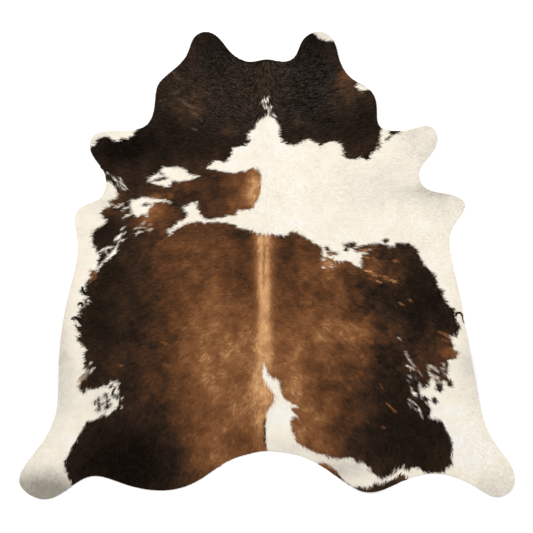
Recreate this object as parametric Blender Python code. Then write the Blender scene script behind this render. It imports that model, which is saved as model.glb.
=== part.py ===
"""A cowhide rug: one whole hide, tanned with its hair on, trimmed and laid flat on the floor.

Metres, +Z up. The rug lies with its spine along Y, the neck towards +Y and the tail towards -Y.
The origin is on the floor, in the middle of the hide's length and width.
"""
import math

import bmesh
import bpy
import numpy as np
from mathutils import Vector

CM = 0.01

# Driving sizes
SKIN_THICKNESS = 0.0018        # tanned leather
PILE_DEPTH = 0.0027            # hair coat, lying close to the skin
RIM_ROUND = 0.007              # width over which the pile drops to the cut edge
RIM_DROP = 0.0022              # how far it drops there
EDGE_STEP = 0.018              # spacing of the points along the cut edge
GRID_STEP = 0.042              # spacing of the rows and columns across the hide
SPLINE_STEPS = 24              # short steps between two landmarks, before the even spacing
MERGE_GAP = 1e-6               # points closer than this are one point

HAIR_BROWN = (0.105, 0.047, 0.022, 1.0)
HAIR_ROUGHNESS = 0.62

# Where the knife went, in centimetres from the middle of the hide. Each row is a landmark that the
# hide has on both sides of its spine, listed from the neck to the tail. The two sides are not alike:
# left_out and right_out are measured out from the spine's line, left_up and right_up towards the neck.
#    landmark              left_out  left_up  right_out  right_up
EDGE_LANDMARKS = (
    ("neck dip",                7.5,    89.6,       6.6,     89.6),
    ("cheek root",             15.4,    93.2,      12.3,     91.9),
    ("cheek inner side",       21.1,    99.9,      15.8,     99.2),
    ("cheek tip",              26.6,   102.7,      22.9,    102.7),
    ("cheek outer side",       32.1,   100.1,      29.2,     98.8),
    ("cheek outer root",       35.2,    92.6,      32.0,     89.9),
    ("neck side",              42.5,    84.9,      37.6,     81.9),
    ("shoulder top",           48.0,    79.2,      45.0,     77.4),
    ("shoulder",               49.3,    71.1,      48.2,     70.3),
    ("shoulder root",          52.0,    62.7,      49.2,     61.5),
    ("foreleg root",           58.7,    59.4,      55.2,     59.2),
    ("foreleg top",            69.7,    59.1,      64.0,     60.0),
    ("foreleg corner",         76.1,    56.9,      71.7,     61.1),
    ("foreleg tip",            77.7,    51.5,      74.6,     55.6),
    ("foreleg underside",      74.9,    45.8,      70.8,     47.7),
    ("armpit",                 71.0,    39.4,      66.6,     40.7),
    ("elbow root",             72.9,    30.0,      69.6,     33.8),
    ("elbow top",              79.9,    26.5,      82.6,     30.6),
    ("elbow tip",              84.2,    22.2,      87.0,     26.0),
    ("elbow underside",        83.7,    14.7,      81.4,     16.5),
    ("girth",                  83.4,     3.3,      80.7,      4.6),
    ("belly front",            87.1,   -12.1,      85.2,    -15.2),
    ("belly",                  90.4,   -30.6,      88.0,    -31.5),
    ("belly rear",             91.5,   -49.5,      91.7,    -52.6),
    ("flank",                  93.0,   -65.8,      96.0,    -70.4),
    ("hind leg front",         99.4,   -78.5,     103.0,    -82.1),
    ("hind leg",              106.9,   -88.9,     108.1,    -90.2),
    ("hind leg end",          108.5,   -96.4,     108.0,    -97.9),
    ("hind leg corner",        99.0,  -102.7,     101.3,   -101.9),
    ("hind leg underside",     88.4,   -98.8,      91.3,    -97.0),
    ("hind leg root",          77.0,   -92.6,      76.6,    -91.6),
    ("rump outer side",        62.7,   -96.1,      61.6,    -93.9),
    ("rump",                   46.6,   -98.9,      45.8,    -99.7),
    ("rump inner side",        32.1,   -95.5,      33.0,    -94.4),
    ("tail side",              18.5,   -86.7,      18.3,    -85.0),
    ("tail dip",               10.1,   -83.4,       7.3,    -82.1),
)
NECK_CREST = (0.0, 90.7)       # the small point in the middle of the neck
TAIL_CREST = (-1.5, -81.6)     # the middle of the cut across the tail root

# Places where the skin has dried a little stiff and stands off the floor, in centimetres. Each is a
# smooth ridge: its middle, the way its crest runs, its half length and half width, and its height.
#    place                     x       y    crest_deg  half_length  half_width  lift
RIDGES = (
    ("left hind foot",      -95.0,  -90.0,       20.0,        17.0,       11.0,  1.0),
    ("right hind foot",      99.0,  -88.0,      -35.0,        15.0,       10.0,  0.6),
    ("left belly edge",     -89.0,  -44.0,       95.0,        26.0,       12.0,  0.8),
    ("right belly edge",     89.5,  -48.0,      100.0,        25.0,       12.0,  0.9),
    ("right armpit",         74.0,   31.0,      -18.0,        15.0,       10.0,  1.1),
    ("right foreleg",        69.0,   54.5,       35.0,        13.0,       11.0,  0.7),
    ("left foreleg",        -71.0,   52.0,      -30.0,        13.0,       11.0,  0.6),
    ("left elbow",          -80.0,   20.0,       60.0,        15.0,        9.0,  0.7),
    ("left cheek",          -26.0,   96.0,       80.0,        12.0,       11.0,  0.6),
    ("right cheek",          23.5,   96.0,       95.0,        12.0,       11.0,  0.7),
    ("right rump",           44.0,  -96.0,        5.0,        15.0,       10.0,  0.5),
)


def edge_landmarks():
    """The landmarks as points in metres, once round the hide, clockwise from the neck crest."""
    right = [(right_out, right_up) for _, _, _, right_out, right_up in EDGE_LANDMARKS]
    left = [(-left_out, left_up) for _, left_out, left_up, _, _ in EDGE_LANDMARKS]
    return np.array([NECK_CREST] + right + [TAIL_CREST] + left[::-1]) * CM


def smooth_ring(points, step):
    """A closed cubic spline through the points, walked in even steps."""
    count = len(points)
    gaps = np.sqrt(np.linalg.norm(np.roll(points, -1, axis=0) - points, axis=1))
    before = np.roll(gaps, 1)
    system = np.zeros((count, count))
    pull = np.zeros((count, 2))
    slopes = (np.roll(points, -1, axis=0) - points) / gaps[:, None]
    for i in range(count):
        system[i, i] = 2.0 * (before[i] + gaps[i])
        system[i, (i - 1) % count] = gaps[i]
        system[i, (i + 1) % count] = before[i]
        pull[i] = 3.0 * (gaps[i] * slopes[i - 1] + before[i] * slopes[i])
    tangents = np.linalg.solve(system, pull)
    dense = []
    for i in range(count):
        after = (i + 1) % count
        for t in np.linspace(0.0, 1.0, SPLINE_STEPS, endpoint=False):
            a = 2 * t**3 - 3 * t**2 + 1
            b = t**3 - 2 * t**2 + t
            c = -2 * t**3 + 3 * t**2
            d = t**3 - t**2
            dense.append(a * points[i] + b * gaps[i] * tangents[i]
                         + c * points[after] + d * gaps[i] * tangents[after])
    dense = np.array(dense + dense[:1])
    run = np.concatenate([[0.0], np.cumsum(np.linalg.norm(np.diff(dense, axis=0), axis=1))])
    steps = round(run[-1] / step)
    places = np.linspace(0.0, run[-1], steps, endpoint=False)
    return np.column_stack([np.interp(places, run, dense[:, axis]) for axis in (0, 1)])


def lift_at(x, y):
    """How far the skin stands off the floor at a place: exactly nothing outside the ridges."""
    lift = 0.0
    for _, middle_x, middle_y, crest_deg, half_length, half_width, height in RIDGES:
        crest = math.radians(crest_deg)
        dx, dy = x - middle_x * CM, y - middle_y * CM
        along = (dx * math.cos(crest) + dy * math.sin(crest)) / (half_length * CM)
        across = (dy * math.cos(crest) - dx * math.sin(crest)) / (half_width * CM)
        reach = along * along + across * across
        if reach < 1.0:
            lift += height * CM * (1.0 - reach) ** 2
    return lift


def cut_into_grid(bm, faces, reach, step, axis):
    """Cuts the faces along evenly spaced lines, square to the given axis."""
    normal = Vector((0.0, 0.0, 0.0))
    normal[axis] = 1.0
    for i in range(-math.floor(reach / step), math.floor(reach / step) + 1):
        geometry = set(faces)
        for face in faces:
            geometry.update(face.edges)
            geometry.update(face.verts)
        cut = bmesh.ops.bisect_plane(bm, geom=list(geometry), dist=MERGE_GAP,
                                     plane_co=normal * (i * step), plane_no=normal)
        faces = [item for item in cut["geom"] if isinstance(item, bmesh.types.BMFace)]
    return faces


def build_hide(material):
    """The skin and its pile as one flat solid, with the cut edge rounded over."""
    edge = smooth_ring(edge_landmarks(), EDGE_STEP)
    edge -= (edge.min(axis=0) + edge.max(axis=0)) / 2.0
    bm = bmesh.new()
    blank = bm.faces.new([bm.verts.new((x, y, 0.0)) for x, y in edge])
    blank.normal_update()
    if blank.normal.z < 0.0:
        blank.normal_flip()
    bmesh.ops.inset_region(bm, faces=[blank], thickness=RIM_ROUND, use_even_offset=True)
    reach = max(abs(edge[:, 0]).max(), abs(edge[:, 1]).max())
    inner = cut_into_grid(bm, [blank], reach, GRID_STEP, 0)
    cut_into_grid(bm, inner, reach, GRID_STEP, 1)
    pile = bmesh.ops.extrude_face_region(bm, geom=list(bm.faces), use_keep_orig=True)["geom"]
    pile_faces = {item for item in pile if isinstance(item, bmesh.types.BMFace)}
    for vert in {vert for face in pile_faces for vert in face.verts}:
        on_rim = any(face not in pile_faces for face in vert.link_faces)
        vert.co.z = SKIN_THICKNESS + PILE_DEPTH - (RIM_DROP if on_rim else 0.0)
    for vert in bm.verts:
        vert.co.z += lift_at(vert.co.x, vert.co.y)
    bmesh.ops.triangulate(bm, faces=bm.faces)
    bmesh.ops.recalc_face_normals(bm, faces=bm.faces)
    mesh = bpy.data.meshes.new("hide")
    bm.to_mesh(mesh)
    bm.free()
    mesh.materials.append(material)
    mesh.shade_smooth()
    hide = bpy.data.objects.new("hide", mesh)
    bpy.context.collection.objects.link(hide)
    return hide


def hair_material():
    material = bpy.data.materials.new("brown_hair")
    material.use_nodes = True
    shader = material.node_tree.nodes["Principled BSDF"]
    shader.inputs["Base Color"].default_value = HAIR_BROWN
    shader.inputs["Roughness"].default_value = HAIR_ROUGHNESS
    shader.inputs["Metallic"].default_value = 0.0
    return material


for leftover in list(bpy.data.objects):
    bpy.data.objects.remove(leftover, do_unlink=True)
build_hide(hair_material())
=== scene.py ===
"""A cowhide rug lying flat, hair side up, seen from straight above.

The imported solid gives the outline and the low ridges. This script dresses it with a tanned skin and
a combed coat of short hair locks that carries the natural markings.
"""

import math

import bmesh
import bpy
import numpy as np
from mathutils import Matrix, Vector
from mathutils.bvhtree import BVHTree


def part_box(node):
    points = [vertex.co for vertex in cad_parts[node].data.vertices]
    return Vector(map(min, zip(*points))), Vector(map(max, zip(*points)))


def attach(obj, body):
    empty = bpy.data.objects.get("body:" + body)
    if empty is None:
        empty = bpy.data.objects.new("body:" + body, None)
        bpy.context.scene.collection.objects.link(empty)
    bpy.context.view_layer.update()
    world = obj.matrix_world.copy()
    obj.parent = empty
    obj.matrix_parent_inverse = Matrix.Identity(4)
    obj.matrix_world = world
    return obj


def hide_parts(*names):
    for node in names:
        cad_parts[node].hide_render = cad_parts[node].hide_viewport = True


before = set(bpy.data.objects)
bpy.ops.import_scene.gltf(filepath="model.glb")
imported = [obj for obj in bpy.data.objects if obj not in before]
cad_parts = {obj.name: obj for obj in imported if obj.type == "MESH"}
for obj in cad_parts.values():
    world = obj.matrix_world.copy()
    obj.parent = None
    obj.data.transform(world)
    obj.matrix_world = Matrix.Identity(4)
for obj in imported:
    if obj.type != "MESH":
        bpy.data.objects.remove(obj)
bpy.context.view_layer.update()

# ------------------------------------------------------------------------------------------------
# The tanned skin. One hide of chrome-tanned leather, about 1.8 mm thick, trimmed with a knife from
# the flesh side, so its edge is a raw pale line just inside the tips of the hair. The flesh side
# is buffed to a dull suede. It lies flat but for the stiff places that the solid gives.

SKIN_THICKNESS = 0.0018
TRIM_INSIDE = 0.0022           # the knife's line lies this far inside the tips of the hair
SKIN_STEP = 0.013
WAVE_HEIGHT = 0.0005           # how much the lying skin wavers by itself
WAVE_CELL = 0.19               # and how far apart its wavers are
WAVE_SEED = 3
MERGE_GAP = 1e-5               # points closer than this are one point
UPWARD = 0.3                   # the solid's upper faces have normals that rise by more than this
TINY = 1e-18                   # keeps an edge of no length from dividing by zero

# The heights are read from the solid at the points of an even grid.
FIELD_STEP = 0.010
FIELD_MARGIN = 3 * FIELD_STEP
LAST_LINE = 1.001              # reading stops just short of the grid's last line
RAY_START = 0.2                # how far under the floor the rays start
FILL_PASSES = 6                # how many points the heights are carried on past the edge
SMOOTH_PASSES = 4

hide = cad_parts["hide"]
hide_low, hide_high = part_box("hide")


def hide_outline():
    """The solid's outer edge, as an ordered ring of points in plan."""
    bm = bmesh.new()
    bm.from_mesh(hide.data)
    bmesh.ops.remove_doubles(bm, verts=bm.verts, dist=MERGE_GAP)
    bm.normal_update()
    upper = {face for face in bm.faces if face.normal.z > UPWARD}
    after = {}
    for face in upper:
        for loop in face.loops:
            if not any(other in upper for other in loop.edge.link_faces if other is not face):
                after[loop.vert.index] = loop.link_loop_next.vert.index
    bm.verts.ensure_lookup_table()
    ring = [min(after)]            # a fixed start, so that each run cuts the same skin
    while after[ring[-1]] != ring[0]:
        ring.append(after[ring[-1]])
    points = np.array([bm.verts[i].co[:2] for i in ring])
    bm.free()
    return points


outline = hide_outline()


def inside_by(x, y, ring):
    """How far each place lies inside a closed ring of points; negative outside it."""
    nearest = np.full(x.shape, np.inf)
    within = np.zeros(x.shape, bool)
    for (ax, ay), (bx, by) in zip(ring, np.roll(ring, -1, axis=0)):
        ex, ey = bx - ax, by - ay
        t = np.clip(((x - ax) * ex + (y - ay) * ey) / (ex * ex + ey * ey + TINY), 0.0, 1.0)
        nearest = np.minimum(nearest, (x - ax - t * ex) ** 2 + (y - ay - t * ey) ** 2)
        if ey != 0.0:
            crosses = (ay > y) != (by > y)
            within ^= crosses & (x < ax + (y - ay) * ex / ey)
    return np.where(within, 1.0, -1.0) * np.sqrt(nearest)


class Field:
    """Values on an even grid over the rug, read anywhere between its points."""

    def __init__(self, low, high, step):
        self.low, self.step = np.array(low), step
        self.xs = np.arange(low[0], high[0] + step, step)
        self.ys = np.arange(low[1], high[1] + step, step)
        self.grid_x, self.grid_y = np.meshgrid(self.xs, self.ys, indexing="ij")
        self.values = np.zeros(self.grid_x.shape)

    def smooth(self, passes):
        """Each pass blends half of a point's value with an eighth of each neighbour's."""
        for _ in range(passes):
            padded = np.pad(self.values, 1, mode="edge")
            self.values = (padded[:-2, 1:-1] + padded[2:, 1:-1] + padded[1:-1, :-2]
                           + padded[1:-1, 2:] + 4.0 * self.values) / 8.0

    def at(self, x, y):
        """The value at any place, blended from the four points around it."""
        gx = np.clip((x - self.low[0]) / self.step, 0.0, len(self.xs) - LAST_LINE)
        gy = np.clip((y - self.low[1]) / self.step, 0.0, len(self.ys) - LAST_LINE)
        ix, iy = gx.astype(int), gy.astype(int)
        fx, fy = gx - ix, gy - iy
        v = self.values
        return ((v[ix, iy] * (1 - fx) + v[ix + 1, iy] * fx) * (1 - fy)
                + (v[ix, iy + 1] * (1 - fx) + v[ix + 1, iy + 1] * fx) * fy)


# A grid corner's value is what is left of a large sine after the point: it looks random, but is
# always the same for the same corner.
CORNER_TURNS = (127.1, 311.7, 74.7)
SINE_SIZE = 43758.5453
GRID_SHIFT = 1000.0            # keeps the grid's numbers above zero


def ruffle(x, y, cell, seed):
    """Smooth noise from -1 to 1 with features of the given size."""
    gx, gy = x / cell + GRID_SHIFT, y / cell + GRID_SHIFT
    ix, iy = np.floor(gx), np.floor(gy)
    fx, fy = gx - ix, gy - iy
    fx, fy = fx * fx * (3 - 2 * fx), fy * fy * (3 - 2 * fy)

    def corner(i, j):
        turn_x, turn_y, turn_seed = CORNER_TURNS
        return np.mod(np.sin(i * turn_x + j * turn_y + seed * turn_seed) * SINE_SIZE, 1.0) * 2.0 - 1.0

    near = corner(ix, iy) * (1 - fx) + corner(ix + 1, iy) * fx
    far = corner(ix, iy + 1) * (1 - fx) + corner(ix + 1, iy + 1) * fx
    return near * (1 - fy) + far * fy


field_low = (hide_low.x - FIELD_MARGIN, hide_low.y - FIELD_MARGIN)
field_high = (hide_high.x + FIELD_MARGIN, hide_high.y + FIELD_MARGIN)
edge_gap = Field(field_low, field_high, FIELD_STEP)
edge_gap.values = inside_by(edge_gap.grid_x, edge_gap.grid_y, outline)


def floor_lift():
    """How far the skin's underside stands off the floor, from the solid's own underside."""
    lift = Field(field_low, field_high, FIELD_STEP)
    solid = BVHTree.FromPolygons([v.co[:] for v in hide.data.vertices],
                                 [p.vertices[:] for p in hide.data.polygons])
    up = Vector((0.0, 0.0, 1.0))
    known = np.full(lift.values.shape, np.nan)
    for i, x in enumerate(lift.xs):
        for j, y in enumerate(lift.ys):
            if edge_gap.values[i, j] > 0.0:
                hit = solid.ray_cast(Vector((x, y, -RAY_START)), up)[0]
                if hit is not None:
                    known[i, j] = hit.z
    outside = np.isnan(known)
    lift.values = np.where(outside, 0.0, known)
    for _ in range(FILL_PASSES):
        padded = np.pad(np.where(outside, np.nan, lift.values), 1, constant_values=np.nan)
        stack = np.stack([padded[:-2, 1:-1], padded[2:, 1:-1], padded[1:-1, :-2], padded[1:-1, 2:]])
        count = (~np.isnan(stack)).sum(axis=0)
        mean = np.nansum(stack, axis=0) / np.maximum(count, 1)
        filled = outside & (count > 0)
        lift.values = np.where(filled, mean, lift.values)
        outside &= ~filled
    lift.smooth(SMOOTH_PASSES)
    return lift


lift_field = floor_lift()


def skin_top(x, y):
    """Height of the skin's hair side, with the little wavering of a lying hide."""
    waver = 0.5 + 0.5 * ruffle(x, y, WAVE_CELL, WAVE_SEED)
    return lift_field.at(x, y) + SKIN_THICKNESS + WAVE_HEIGHT * waver


def cut_across(bm, axis, step):
    """Cuts the whole skin along evenly spaced lines, square to an axis."""
    normal = Vector((0.0, 0.0, 0.0))
    normal[axis] = 1.0
    first = math.ceil(hide_low[axis] / step)
    last = math.floor(hide_high[axis] / step)
    for i in range(first, last + 1):
        bmesh.ops.bisect_plane(bm, geom=bm.verts[:] + bm.edges[:] + bm.faces[:], dist=MERGE_GAP,
                               plane_co=normal * (i * step), plane_no=normal)


def add_object(name, data):
    """Puts a mesh, a lamp or a camera into the scene."""
    item = bpy.data.objects.new(name, data)
    bpy.context.collection.objects.link(item)
    return item


def make_skin():
    """The sheet: its edge trimmed, cut into even squares, and given its thickness."""
    bm = bmesh.new()
    blank = bm.faces.new([bm.verts.new((x, y, 0.0)) for x, y in outline])
    blank.normal_update()
    if blank.normal.z < 0.0:
        blank.normal_flip()
    trimmings = bmesh.ops.inset_region(bm, faces=[blank], thickness=TRIM_INSIDE, use_even_offset=True)
    bmesh.ops.delete(bm, geom=trimmings["faces"], context="FACES")
    cut_across(bm, 0, SKIN_STEP)
    cut_across(bm, 1, SKIN_STEP)
    bmesh.ops.triangulate(bm, faces=[f for f in bm.faces if len(f.verts) > 4])
    hair_side = bmesh.ops.extrude_face_region(bm, geom=bm.faces[:], use_keep_orig=True)["geom"]
    hair_side = {item for item in hair_side if isinstance(item, bmesh.types.BMFace)}
    hair_verts = {vert for face in hair_side for vert in face.verts}
    for vert in bm.verts:
        x, y = np.array([vert.co.x]), np.array([vert.co.y])
        top = float(skin_top(x, y)[0])
        vert.co.z = top if vert in hair_verts else max(top - SKIN_THICKNESS, 0.0)
    bmesh.ops.recalc_face_normals(bm, faces=bm.faces)
    for face in bm.faces:
        face.smooth = True
        face.material_index = 0 if face in hair_side else 1
    mesh = bpy.data.meshes.new("skin")
    bm.to_mesh(mesh)
    bm.free()
    return add_object("skin", mesh)


skin = make_skin()


def linear(red, green, blue):
    """A colour read as 0 to 255 on a screen, as the linear values that a shader takes.

    The numbers are the sRGB curve's own.
    """
    def straighten(value):
        value /= 255.0
        return value / 12.92 if value <= 0.04045 else ((value + 0.055) / 1.055) ** 2.4
    return (straighten(red), straighten(green), straighten(blue), 1.0)


def new_material(name, roughness, specular):
    """A plain material, with its nodes, links and shader."""
    material = bpy.data.materials.new(name)
    material.use_nodes = True
    shader = material.node_tree.nodes["Principled BSDF"]
    shader.inputs["Roughness"].default_value = roughness
    shader.inputs["Specular IOR Level"].default_value = specular
    return material, material.node_tree.nodes, material.node_tree.links, shader


def ramp(nodes, name, stops):
    """A colour ramp with a stop for each (place, colour) pair."""
    node = nodes.new("ShaderNodeValToRGB")
    node.label = name
    scale = node.color_ramp
    while len(scale.elements) > 1:
        scale.elements.remove(scale.elements[-1])
    scale.elements[0].position = stops[0][0]
    scale.elements[0].color = stops[0][1]
    for place, colour in stops[1:]:
        scale.elements.new(place).color = colour
    return node


def math_node(nodes, links, operation, first, second=None, clamp=False):
    """A Math node; each input is a socket or a number."""
    node = nodes.new("ShaderNodeMath")
    node.operation = operation
    node.use_clamp = clamp
    for socket, value in zip(node.inputs, (first, second)):
        if isinstance(value, bpy.types.NodeSocket):
            links.new(value, socket)
        elif value is not None:
            socket.default_value = value
    return node.outputs[0]


def noise_value(nodes, links, places, scale, detail):
    """A noise texture read at the given coordinates."""
    noise = nodes.new("ShaderNodeTexNoise")
    noise.inputs["Scale"].default_value = scale
    noise.inputs["Detail"].default_value = detail
    links.new(places, noise.inputs["Vector"])
    return noise.outputs["Fac"]


def add_bump(nodes, links, shader, height, depth, strength):
    """Makes the surface look as uneven as a texture is, to a depth in metres."""
    bump = nodes.new("ShaderNodeBump")
    bump.inputs["Distance"].default_value = depth
    bump.inputs["Strength"].default_value = strength
    links.new(height, bump.inputs["Height"])
    links.new(bump.outputs["Normal"], shader.inputs["Normal"])


SUEDE_ROUGHNESS = 0.92
SUEDE_GLOSS = 0.15
SUEDE_COLOURS = ((0.30, (150, 128, 102)), (0.55, (186, 164, 134)), (0.75, (208, 190, 162)))
NAP_SCALE = 900.0
NAP_DETAIL = 4.0
NAP_DEPTH = 0.0004
NAP_STRENGTH = 0.6
NAP_SHARE = 0.35               # of the colour's play; the veins have the rest
VEIN_SCALE = 9.0
VEIN_DETAIL = 6.0


def suede_material():
    """Buffed flesh side and the raw cut edge: greyish tan, with short nap and thicker veins."""
    material, nodes, links, shader = new_material("suede_flesh_side", SUEDE_ROUGHNESS, SUEDE_GLOSS)
    places = nodes.new("ShaderNodeTexCoord").outputs["Object"]
    nap = noise_value(nodes, links, places, NAP_SCALE, NAP_DETAIL)
    veins = noise_value(nodes, links, places, VEIN_SCALE, VEIN_DETAIL)
    mixed = math_node(nodes, links, "ADD", math_node(nodes, links, "MULTIPLY", nap, NAP_SHARE),
                      math_node(nodes, links, "MULTIPLY", veins, 1.0 - NAP_SHARE))
    shade = ramp(nodes, "suede", [(place, linear(*seen)) for place, seen in SUEDE_COLOURS])
    links.new(mixed, shade.inputs["Fac"])
    links.new(shade.outputs["Color"], shader.inputs["Base Color"])
    add_bump(nodes, links, shader, nap, NAP_DEPTH, NAP_STRENGTH)
    return material


# ------------------------------------------------------------------------------------------------
# The markings. The coat grows cream with a black-brown mantle over neck and shoulders and a brown
# saddle over the back, split by a white girdle. They are natural patches, charted in centimetres from
# the middle of the rug, x to its right and y towards the neck.

CM = 0.01                      # the charts' unit, in metres

# The mantle: from the left foreleg round the neck and down the right shoulder, along the white
# arrow to the caramel end of the band, and back above the white channel to the left armpit.
MANTLE = (
    (-78.6, 50.3), (-76.3, 52.6), (-74.6, 54.6), (-73.4, 56.0), (-69.3, 56.7), (-67.8, 55.2),
    (-65.4, 54.6), (-64.4, 55.6), (-60.6, 56.0), (-58.4, 57.2), (-57.3, 60.8), (-54.0, 66.0),
    (-55.0, 84.0), (-38.0, 104.0), (-24.0, 108.0), (0.0, 96.0), (24.0, 108.0), (36.0, 104.0),
    (40.0, 86.0), (52.0, 82.0), (52.0, 64.0), (50.2, 60.3), (49.6, 58.0), (49.8, 55.5),
    (48.2, 52.5), (46.6, 49.8), (44.8, 46.9), (43.5, 46.4), (41.3, 47.7), (39.4, 46.9),
    (34.0, 46.9), (32.9, 50.3), (32.3, 53.0), (30.0, 54.4), (25.2, 53.7), (23.3, 52.4),
    (21.0, 54.0), (18.4, 55.3), (15.3, 54.4), (13.2, 52.8), (9.0, 52.9), (6.6, 54.4),
    (5.1, 57.6), (5.0, 62.0), (2.6, 64.9), (0.4, 66.4), (-2.4, 64.6), (-4.2, 63.0),
    (-5.2, 60.4), (-8.1, 57.8), (-6.9, 54.6), (-9.0, 52.9), (-14.4, 51.4), (-15.6, 48.2),
    (-17.6, 45.3), (-19.5, 45.3), (-21.0, 46.1), (-23.4, 45.8), (-24.2, 44.2), (-26.6, 42.9),
    (-23.0, 42.0), (-19.0, 41.2), (-14.6, 40.6), (-10.0, 41.4), (-6.4, 43.5), (-3.0, 41.6),
    (-2.4, 38.0), (-3.2, 31.2), (-5.2, 27.0), (-5.4, 25.0), (-12.0, 24.2), (-14.4, 21.8),
    (-17.0, 22.3), (-19.0, 20.9), (-26.0, 20.3), (-28.8, 22.2), (-30.6, 25.2), (-30.3, 28.0),
    (-32.4, 27.6), (-36.6, 25.6), (-34.5, 22.6), (-35.5, 20.8), (-36.8, 19.9), (-39.0, 19.0),
    (-40.1, 17.4), (-41.1, 16.1), (-43.4, 16.3), (-45.0, 13.5), (-50.0, 9.0), (-62.0, 18.0),
    (-65.0, 28.8), (-66.0, 32.6),
    (-67.9, 36.1), (-70.3, 36.9), (-71.4, 41.0), (-80.0, 44.0),
)

# The saddle: from the spine along its front edge to the right flank, down to the rump, round the
# white wedge beside the tail, and up the left flank to the elbow.
SADDLE = (
    (-15.0, 18.6), (-12.2, 16.6), (-7.0, 15.5), (-3.4, 14.0), (1.0, 13.7), (6.4, 13.6),
    (7.6, 12.9), (10.2, 15.0), (13.2, 14.7), (16.0, 12.8), (20.2, 10.2), (23.4, 8.4),
    (24.3, 6.5), (24.3, 4.6), (28.0, 3.4), (31.0, 1.6), (33.5, 2.2), (36.0, 1.9),
    (38.4, 0.4), (41.2, -1.2), (41.0, 3.8), (44.4, 5.3), (39.0, 6.5), (38.5, 7.4),
    (42.0, 9.0), (46.4, 9.9), (52.6, 9.4), (54.8, 8.2), (56.6, 9.8), (62.2, 10.0),
    (65.3, 7.8), (67.2, 3.6), (69.6, -0.4), (73.6, -4.2), (75.2, -9.4), (77.7, -11.2),
    (76.8, -13.4), (79.0, -15.6), (80.0, -18.4), (82.2, -18.8), (82.9, -22.0), (83.2, -24.4),
    (85.0, -25.6), (84.8, -27.2), (83.4, -30.9), (80.0, -30.9), (81.8, -34.8), (81.9, -36.5),
    (84.5, -38.2), (82.8, -40.8), (79.4, -41.4), (79.8, -44.2), (79.2, -48.8), (80.6, -50.1),
    (81.4, -52.2), (80.4, -53.7), (78.6, -52.6), (78.2, -50.9), (76.8, -50.6), (77.6, -52.9),
    (77.0, -55.5), (75.4, -55.9), (73.9, -54.3), (72.9, -50.1), (71.8, -50.6), (70.9, -52.9),
    (67.7, -54.4), (68.0, -56.8), (70.7, -58.4), (71.0, -60.5), (72.3, -63.0), (70.7, -66.5),
    (76.6, -67.6), (78.2, -71.4), (80.4, -75.2), (81.8, -79.0), (81.2, -83.0),
    (81.5, -87.2), (78.4, -89.6), (77.4, -91.0), (68.4, -90.9), (66.4, -88.8), (63.8, -88.6),
    (62.2, -90.2), (59.4, -88.8), (55.6, -91.0), (52.0, -93.2), (49.6, -93.3), (45.8, -90.6),
    (43.6, -90.0), (45.4, -89.2), (42.4, -86.6), (38.8, -86.2), (37.0, -84.6), (30.0, -85.0),
    (24.2, -83.1), (18.4, -81.0), (13.0, -77.4), (10.6, -72.4), (10.0, -68.8), (11.0, -66.4),
    (12.6, -65.8), (10.9, -64.2), (11.0, -62.4), (13.0, -61.8), (10.4, -60.4), (6.6, -57.6),
    (5.2, -53.0), (5.0, -50.0), (2.2, -49.6), (0.4, -47.0), (-1.4, -42.0), (-2.2, -46.0),
    (-1.8, -49.2), (1.2, -54.2), (3.6, -57.2), (2.8, -60.0), (-0.2, -64.4), (-0.7, -73.0),
    (0.0, -82.6), (-20.0, -94.0), (-46.0, -104.0), (-76.0, -100.0), (-84.0, -100.0),
    (-85.8, -96.4), (-88.0, -90.4), (-89.0, -86.6), (-86.0, -80.6), (-82.4, -74.2),
    (-79.5, -68.6), (-77.4, -68.2), (-73.6, -66.6), (-71.8, -64.9), (-70.5, -66.0), (-68.2, -64.7),
    (-65.2, -61.2), (-65.0, -56.2), (-65.8, -54.0), (-64.9, -52.0), (-67.4, -50.6), (-68.8, -50.9),
    (-70.4, -53.2), (-71.4, -52.0), (-73.4, -53.5),
    (-77.0, -54.0), (-79.4, -54.4), (-80.4, -56.2), (-81.9, -54.9), (-83.2, -52.4),
    (-82.4, -49.8), (-79.2, -47.6), (-77.8, -46.0), (-80.4, -44.8), (-80.4, -43.2),
    (-79.2, -42.2), (-80.4, -40.6), (-80.2, -38.0), (-79.0, -37.2), (-83.4, -32.4),
    (-82.6, -29.4), (-83.6, -27.6), (-82.6, -25.4), (-82.6, -19.6), (-80.6, -17.6),
    (-80.4, -14.2), (-78.8, -14.6), (-80.4, -12.6), (-79.4, -10.6), (-79.5, -8.0),
    (-77.4, -4.8), (-77.6, -1.6), (-74.8, -2.0), (-73.9, 0.8), (-74.3, 2.2), (-73.3, 3.8),
    (-74.3, 5.6), (-76.3, 9.6), (-76.8, 12.8), (-75.9, 15.8), (-72.0, 17.8), (-69.6, 20.2),
    (-72.0, 21.4), (-72.9, 23.2), (-70.4, 25.8), (-68.4, 25.8), (-68.6, 28.4), (-66.2, 29.9),
    (-60.0, 29.0), (-52.0, 24.0), (-45.0, 18.5), (-43.2, 15.4), (-42.4, 13.8),
    (-40.6, 15.1), (-38.8, 16.4), (-35.6, 18.3),
    (-30.0, 19.4), (-27.0, 18.9), (-22.0, 19.3), (-17.6, 18.8),
)

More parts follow.
